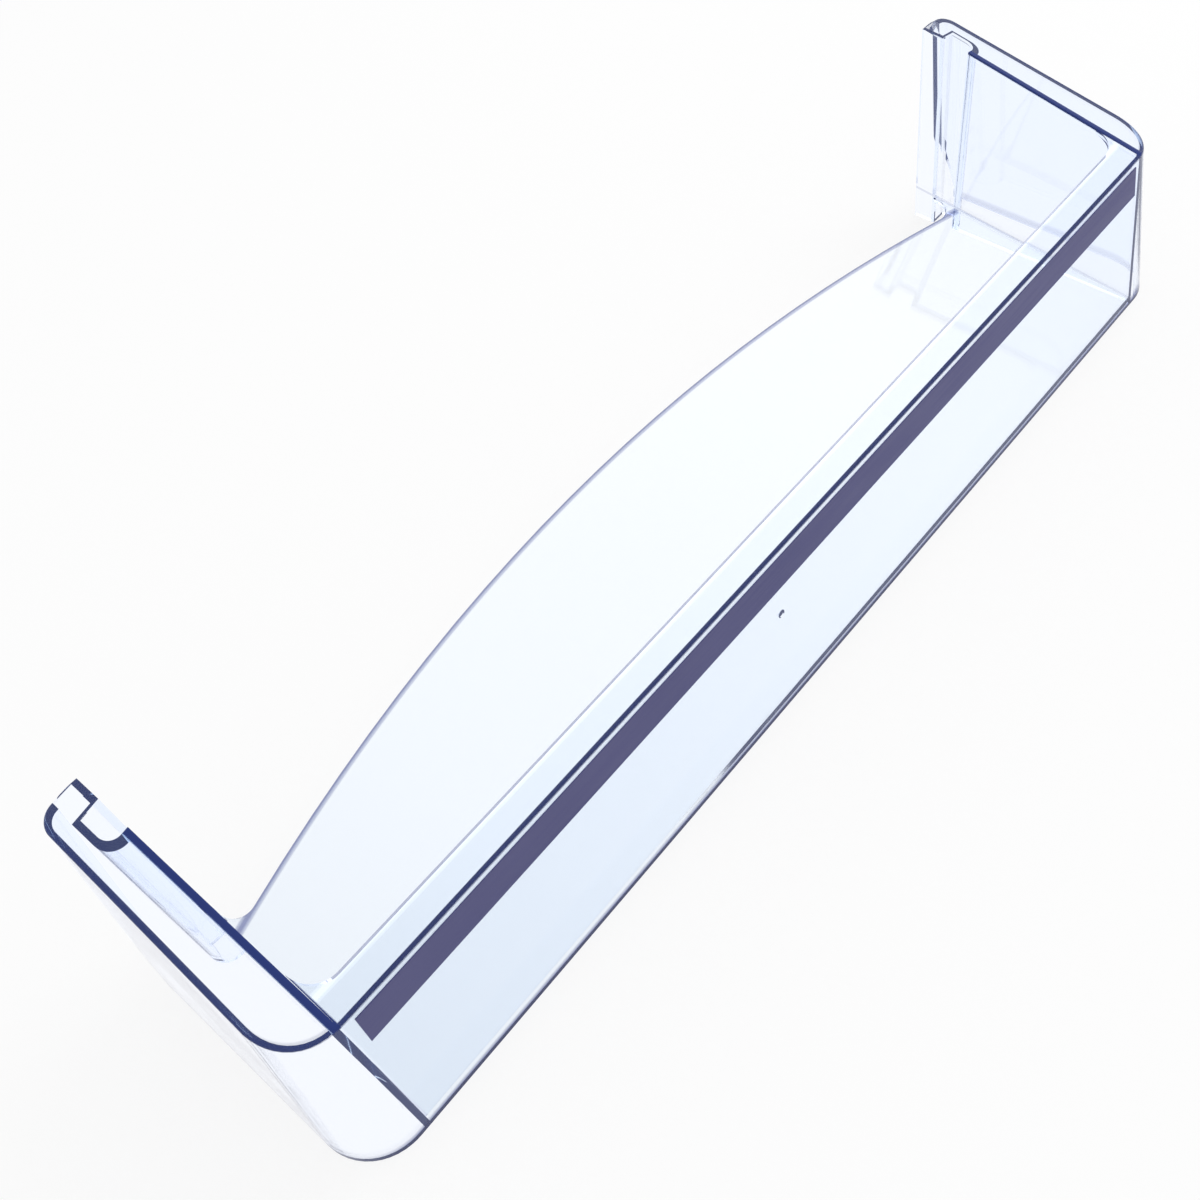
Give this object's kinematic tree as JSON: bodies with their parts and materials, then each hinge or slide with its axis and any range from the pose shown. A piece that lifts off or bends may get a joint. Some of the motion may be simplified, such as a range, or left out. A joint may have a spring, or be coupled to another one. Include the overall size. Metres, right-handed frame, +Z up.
{
  "type": "fridge door shelf",
  "caption": "Clear moulded fridge door shelf with a bulged floor, hollow hook ends and a dark strip along its front wall.",
  "frame": {"origin": "middle of the shelf's length and depth, at the height of its feet", "axes": "+X along the shelf, -Y towards the room, +Y towards the door, +Z up"},
  "size_m": [0.49, 0.1205, 0.0954],
  "materials": {
    "clear_plastic": "clear, very pale blue, glossy",
    "dark_strip": "slate purple, smooth"
  },
  "bodies": {
    "root": {"shelf": "clear_plastic", "strip": "dark_strip"}
  },
  "joints": []
}
